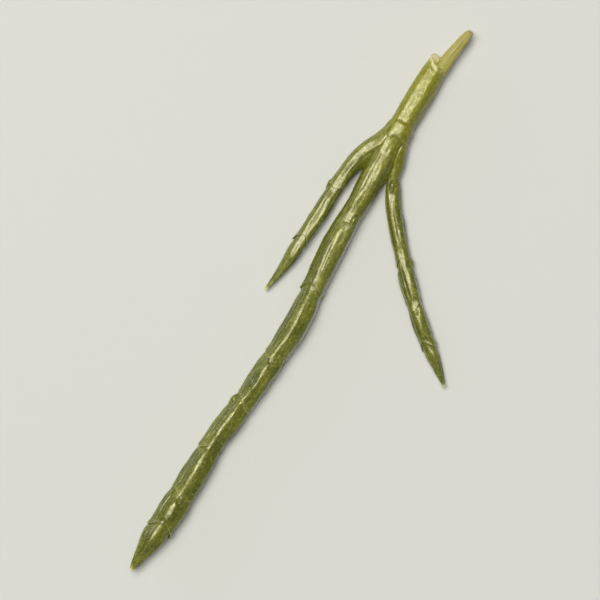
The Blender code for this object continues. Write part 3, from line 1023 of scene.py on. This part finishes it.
shoots = (
    ("left_shoot", left_line, LEFT_JOINTS, LEFT_TIP_THICKNESS, LEFT_SEED),
    ("right_shoot", right_line, RIGHT_JOINTS, RIGHT_TIP_THICKNESS, RIGHT_SEED),
)
for name, line, joints, tip_thickness, seed in shoots:
    stem = grown_stem(line, joints, tip_thickness, SHOOT_PHASE, 0.0, seed, SHOOT_SIDES, SHOOT_SHOULDERS)
    grid, out = placed(stem, line)
    grid[SHOOT_ROOT_ROWS] = webbed(
        grid[SHOOT_ROOT_ROWS], out[SHOOT_ROOT_ROWS], main_line, MAIN_FORK, MAIN_FORK_RADIUS
    )
    grid[..., 2] = np.maximum(grid[..., 2], BEARING_HEIGHT)
    marks = stem_marks(stem, line)
    marks["age"] = SHOOT_AGE + (1 - SHOOT_AGE) * marks["age"]
    shoot = closed_skin(name, grid[None], marks, flesh)
    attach(shoot, "root")
    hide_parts("samphire_sprig")


# The buds. In some collars a side shoot has only begun: a small pointed bud of two closed scales leans out
# between the lobe and the stem. It is the same flesh as the joints, a little younger and paler at its point.

# Stem, joint that it lies on, angle round the stem in degrees, length and thickness
BUDS = [
    ("main", 2, 62.0, 2.9, 1.3),
    ("main", 3, -20.0, 2.6, 1.2),
    ("main", 5, 165.0, 2.5, 1.2),
    ("main", 7, 80.0, 2.6, 1.2),
    ("right", 1, 100.0, 2.1, 1.0),
    ("right", 2, 10.0, 2.2, 1.0),
    ("left", 1, 170.0, 2.2, 1.0),
]
BUD_ROWS = 28
BUD_SIDES = 40

# How deep a bud is sunk, in half thicknesses, its lean, and how far ahead its middle is, in lengths
BUD_SINK = 0.68
BUD_LEAN = math.radians(10.0)
BUD_AHEAD = 0.25

# How it narrows to its point, and how far from its foot and its point, in radians, its outer rings lie
BUD_POINT = 1.1
BUD_ENDS = (0.06, 0.05)

# The slits between its scales: depth, width, how far below the middle they start, and how much painted shade
# they get
BUD_SLIT = 0.16
BUD_SLIT_WIDTH = 0.3
BUD_SLIT_START = 0.4
BUD_SLIT_SHADE = 0.5

# Its pale point and the painted shade at its foot, where it sits in the collar: how strong each is, and how
# far from the middle it starts
BUD_PALE = 0.35
BUD_PALE_START = 0.2
BUD_FOOT_SHADE = 0.4
BUD_FOOT_START = 0.1

# Its age, and how far along the stem its grain is read, so that it doesn't run on from the skin beside it
BUD_AGE = 0.6
BUD_GRAIN_SHIFT = 7.0

stems_with_buds = {
    "main": (main_line, SKIN_START, MAIN_JOINTS),
    "left": (left_line, 0.0, LEFT_JOINTS),
    "right": (right_line, 0.0, RIGHT_JOINTS),
}


def bud_grid(line, start, joints, joint, angle, length, thickness):
    """A pointed bud as a turned profile: a circle's half chord, narrowed by its height above the middle.

    The narrowing is 1 - point times height. Two slits between its scales sink by a bell curve of the angle.
    Its axis leans out from the stem.
    """
    place = start + sum(joint_length for joint_length, *_ in joints[:joint])
    reach = joints[joint][1] / 2 * JOINT_SHAPE[1][1] - BUD_SINK * thickness / 2
    root, out = carried_round(line, np.array(place), np.array(reach), np.array(math.radians(angle)))
    axis = math.cos(BUD_LEAN) * heading(line, place) + math.sin(BUD_LEAN) * out
    across = np.cross(axis, out)
    across /= np.linalg.norm(across)
    away = np.cross(across, axis)
    height = -np.cos(np.linspace(BUD_ENDS[0], np.pi - BUD_ENDS[1], BUD_ROWS))[:, None] / 2
    turn = np.linspace(0.0, 2 * np.pi, BUD_SIDES, endpoint=False)[None, :]
    radius = np.sqrt(0.25 - height**2) * (1 - BUD_POINT * np.maximum(height, 0))
    slit = bell(np.sin(turn), BUD_SLIT_WIDTH) * np.clip(height * 2 + BUD_SLIT_START, 0, 1)
    radius = radius * (1 - BUD_SLIT * slit) * thickness
    ring = np.cos(turn)[..., None] * away + np.sin(turn)[..., None] * across
    grid = root + axis * (BUD_AHEAD + height[..., None]) * length + radius[..., None] * ring
    foot = np.clip(-BUD_FOOT_START - height, 0, 1)
    grain_place = place + BUD_GRAIN_SHIFT + height * length + 0 * turn
    # The slits and the foot get painted shade through the hollow mark
    marks = {
        "rim": BUD_PALE * np.clip(height * 2 - BUD_PALE_START, 0, 1) + 0 * turn,
        "hollow_shade": np.clip(BUD_SLIT_SHADE * slit + BUD_FOOT_SHADE * foot, 0, 1),
        "age": np.full(grid.shape[:2], BUD_AGE),
        "wrapped": wrapped_place(grain_place, turn + 0 * height, radius),
    }
    return grid, marks


made = [bud_grid(*stems_with_buds[stem], *rest) for stem, *rest in BUDS]
bud_grids = np.stack([grid for grid, _ in made])
bud_grids[..., 2] = np.maximum(bud_grids[..., 2], BEARING_HEIGHT)
bud_marks = {mark: np.stack([marks[mark] for _, marks in made]) for mark in made[0][1]}
buds = closed_skin("axillary_buds", bud_grids, bud_marks, flesh)
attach(buds, "root")
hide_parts("samphire_sprig")


# The surface that the sprig lies on, which is no part of the plant: a plain pale board with a matt finish.
# The stems bear on it where they are lowest.

BOARD_HALF = 0.7
BOARD_DROP = 0.0001
BOARD_FINISH = {"Base Color": (0.66, 0.675, 0.7, 1.0), "Roughness": 0.6}

board_mesh = bpy.data.meshes.new("board")
corners = ((-1, -1), (1, -1), (1, 1), (-1, 1))
board_points = [(x * BOARD_HALF, y * BOARD_HALF, -BOARD_DROP) for x, y in corners]
board_mesh.from_pydata(board_points, [], [(0, 1, 2, 3)])
board_mesh.materials.append(new_material("pale_board", 0, BOARD_FINISH)[0])
board = bpy.data.objects.new("board", board_mesh)
bpy.context.scene.collection.objects.link(board)


# The light. A window high on the photograph's upper left with the bright wall round it, a low strip of sky on
# the same side, a weak wide wall opposite, and a room that gives little light of its own. Where the camera
# looks past the board it sees a pale backdrop.

ROOM_COLOUR = (0.97, 0.94, 0.87, 1.0)
ROOM_LIGHT = 0.11
BACKDROP_COLOUR = (1.0, 1.0, 0.96, 1.0)
BACKDROP_LIGHT = 0.62

LIGHT_SIDE = (-0.224, -0.975)
FAR_SIDE = (0.5, 0.866)
DAYLIGHT = (1.0, 0.96, 0.84)
SKYLIGHT = (0.88, 0.94, 1.0)
WALL_LIGHT = (0.9, 0.95, 1.0)

# Name, level direction, elevation in degrees, distance, width and height, watts and colour
PANELS = [
    ("window", LIGHT_SIDE, 78.0, 2.25, (1.05, 1.05), 35.0, DAYLIGHT),
    ("soft_wall", LIGHT_SIDE, 74.0, 2.32, (1.72, 1.72), 16.0, DAYLIGHT),
    ("low_sky", LIGHT_SIDE, 12.0, 2.4, (2.1, 0.6), 10.0, SKYLIGHT),
    ("far_wall", FAR_SIDE, 40.0, 3.0, (1.9, 1.9), 1.4, WALL_LIGHT),
]

world = bpy.data.worlds.new("pale_room")
world.use_nodes = True
room = world.node_tree
room_light = room.nodes["Background"]
feed(room, room_light.inputs, (ROOM_COLOUR, ROOM_LIGHT))
backdrop = new_node(room, "ShaderNodeBackground", 0, 200)
feed(room, backdrop.inputs, (BACKDROP_COLOUR, BACKDROP_LIGHT))
seen = new_node(room, "ShaderNodeLightPath", 0, 500)
either = new_node(room, "ShaderNodeMixShader", 250, 300)
feed(room, either.inputs, (seen.outputs["Is Camera Ray"], room_light.outputs[0], backdrop.outputs[0]))
room.links.new(either.outputs[0], room.nodes["World Output"].inputs["Surface"])
bpy.context.scene.world = world


def light_panel(name, toward, elevation, distance, size, power, colour):
    """An area light, wide and high, that faces the sprig from a distance.

    Its direction is the level one times the cosine of the elevation, and up by the sine of it.
    """
    rise = math.radians(elevation)
    direction = np.array([toward[0] * math.cos(rise), toward[1] * math.cos(rise), math.sin(rise)])
    data = bpy.data.lights.new(name, "AREA")
    data.shape = "RECTANGLE"
    data.size, data.size_y = size
    data.energy = power
    data.color = colour
    lamp = bpy.data.objects.new(name, data)
    lamp.visible_camera = False
    lamp.location = Vector(direction * distance)
    lamp.rotation_euler = Vector(direction).to_track_quat("Z", "Y").to_euler()
    bpy.context.scene.collection.objects.link(lamp)


for panel in PANELS:
    light_panel(*panel)


# The camera looks straight down, turned as the photograph is: the sprig runs from the upper right to the
# lower left of the frame.

CAMERA_HEIGHT = 0.62
CAMERA_OVER = (0.0, -0.0102)
CLIP_START = 0.01
FRAME_WIDTH = 0.094
SENSOR_WIDTH = 36.0

# The direction on the board that is the frame's right
FRAME_RIGHT = (-0.531, 0.847)

camera_data = bpy.data.cameras.new("camera")
camera_data.sensor_width = SENSOR_WIDTH
camera_data.lens = SENSOR_WIDTH * CAMERA_HEIGHT / FRAME_WIDTH
camera_data.clip_start = CLIP_START
camera = bpy.data.objects.new("camera", camera_data)
camera.location = (*CAMERA_OVER, CAMERA_HEIGHT)
camera.rotation_euler = (0.0, 0.0, math.atan2(FRAME_RIGHT[1], FRAME_RIGHT[0]))
bpy.context.scene.collection.objects.link(camera)
bpy.context.scene.camera = camera
bpy.context.scene.view_settings.view_transform = "Standard"
